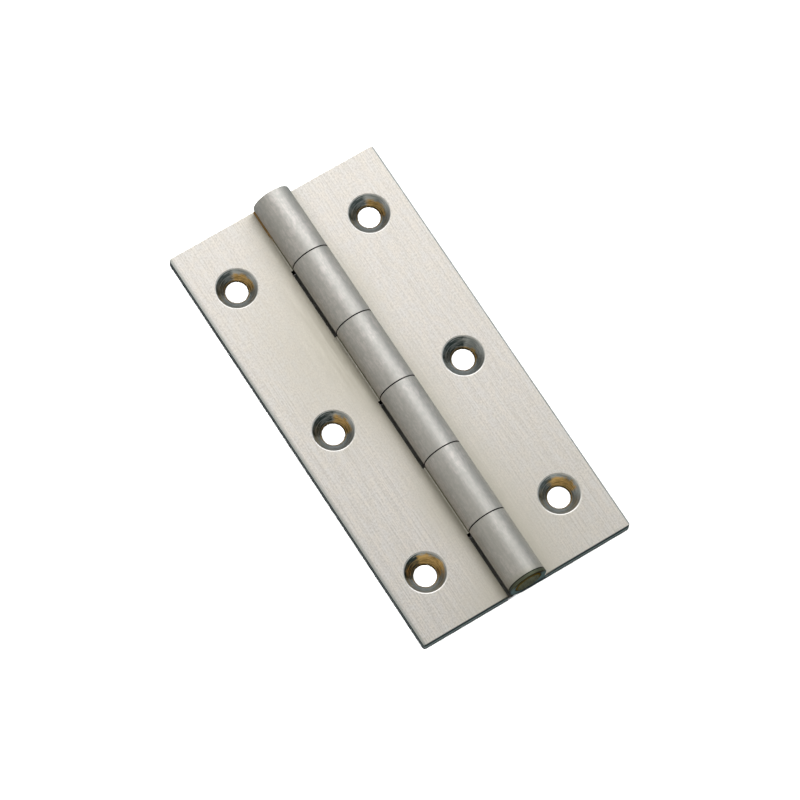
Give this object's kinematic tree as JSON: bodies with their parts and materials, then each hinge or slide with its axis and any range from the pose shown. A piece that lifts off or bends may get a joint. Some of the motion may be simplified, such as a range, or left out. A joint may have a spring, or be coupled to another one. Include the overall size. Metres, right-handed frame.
{
  "type": "butt hinge",
  "caption": "Flat butt hinge with two rectangular countersunk leaves, interlocking barrel knuckles and a fixed riveted pin.",
  "frame": {"origin": "centre of the hinge's outline on the back plane of the leaves, which is the face that lies on the door or the table", "axes": "+Z out of the countersunk front, Y along the pin with the left leaf's end knuckle at +Y, X across the open leaves with the right leaf on +X"},
  "size_m": [0.0382, 0.076, 0.0066],
  "materials": {
    "leaf_plating": "satin nickel plate over brass, brushed lengthwise on the leaves and matte on the barrel, brass showing in the countersinks",
    "pin_metal": "dull olive grey upset end"
  },
  "bodies": {
    "fixed_leaf": {"left_leaf": "leaf_plating", "hinge_pin": "pin_metal"},
    "swinging_leaf": {"right_leaf": "leaf_plating"}
  },
  "joints": [
    {"name": "leaf_swing", "type": "hinge", "parent": "fixed_leaf", "child": "swinging_leaf", "pos_m": [0, 0, 0.0033], "axis": [0, -1, 0], "range_deg": [-90, 180]}
  ]
}
